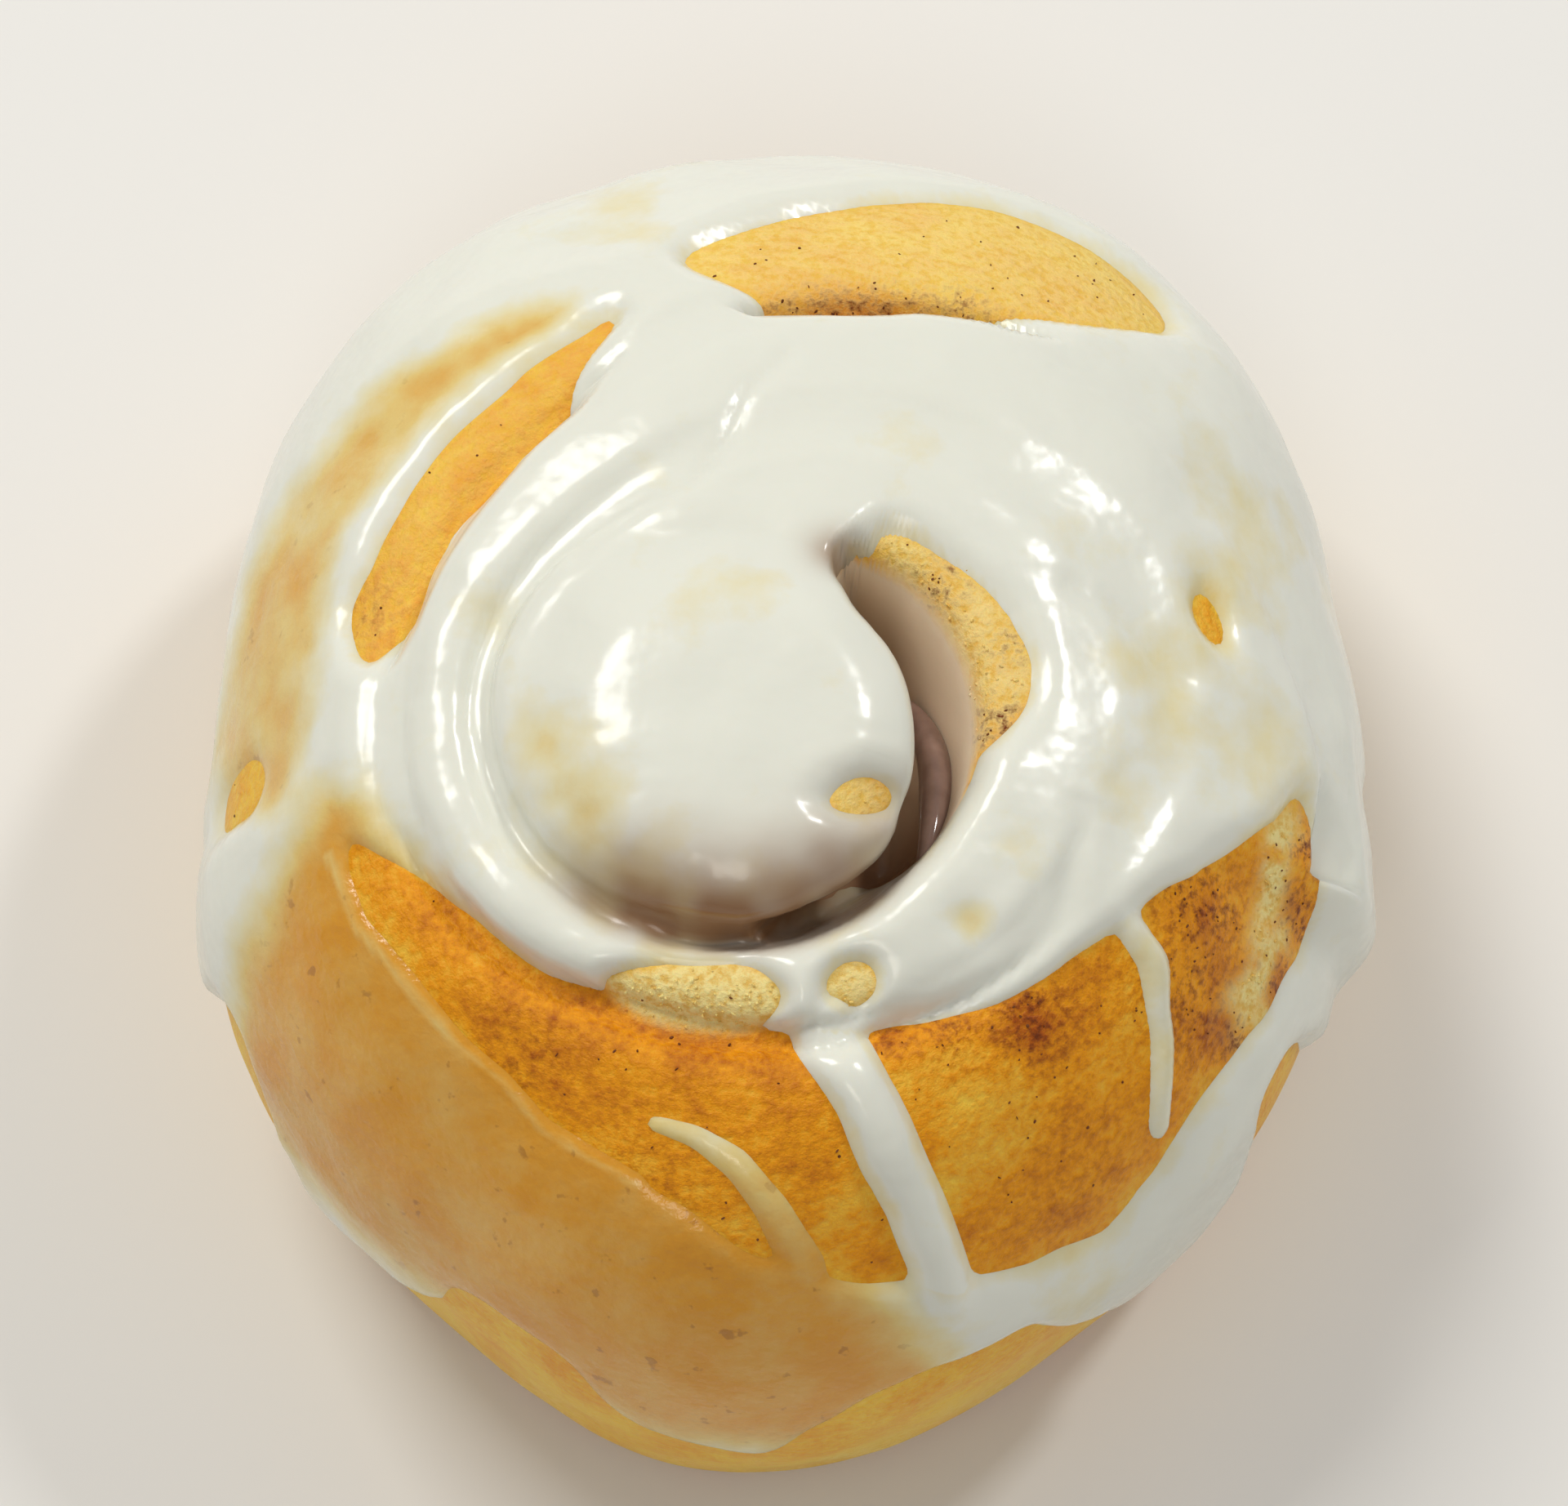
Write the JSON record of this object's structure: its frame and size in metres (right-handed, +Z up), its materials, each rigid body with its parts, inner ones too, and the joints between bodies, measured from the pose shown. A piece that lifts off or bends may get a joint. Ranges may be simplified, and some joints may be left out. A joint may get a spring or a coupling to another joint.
{
  "type": "cinnamon roll",
  "caption": "Iced cinnamon roll: a domed bun of dough rolled round a cinnamon filling, with a raised centre coil, an open crescent gap and white icing that runs down its sides.",
  "frame": {"origin": "centre of the bun's footprint, on its flat base", "axes": "+Z up through the spiral's face, +Y away from the side that the picture is taken from, +X to the right"},
  "size_m": [0.0772, 0.0888, 0.0499],
  "materials": {
    "dough": "baked golden-brown crust, soft sheen, with pale yellow crumb where it is cut",
    "filling": "dark brown cinnamon sugar, slightly moist",
    "icing": "glossy white sugar icing, translucent where it is thin"
  },
  "bodies": {
    "root": {"dough": "dough", "filling": "filling", "icing": "icing"}
  },
  "joints": []
}
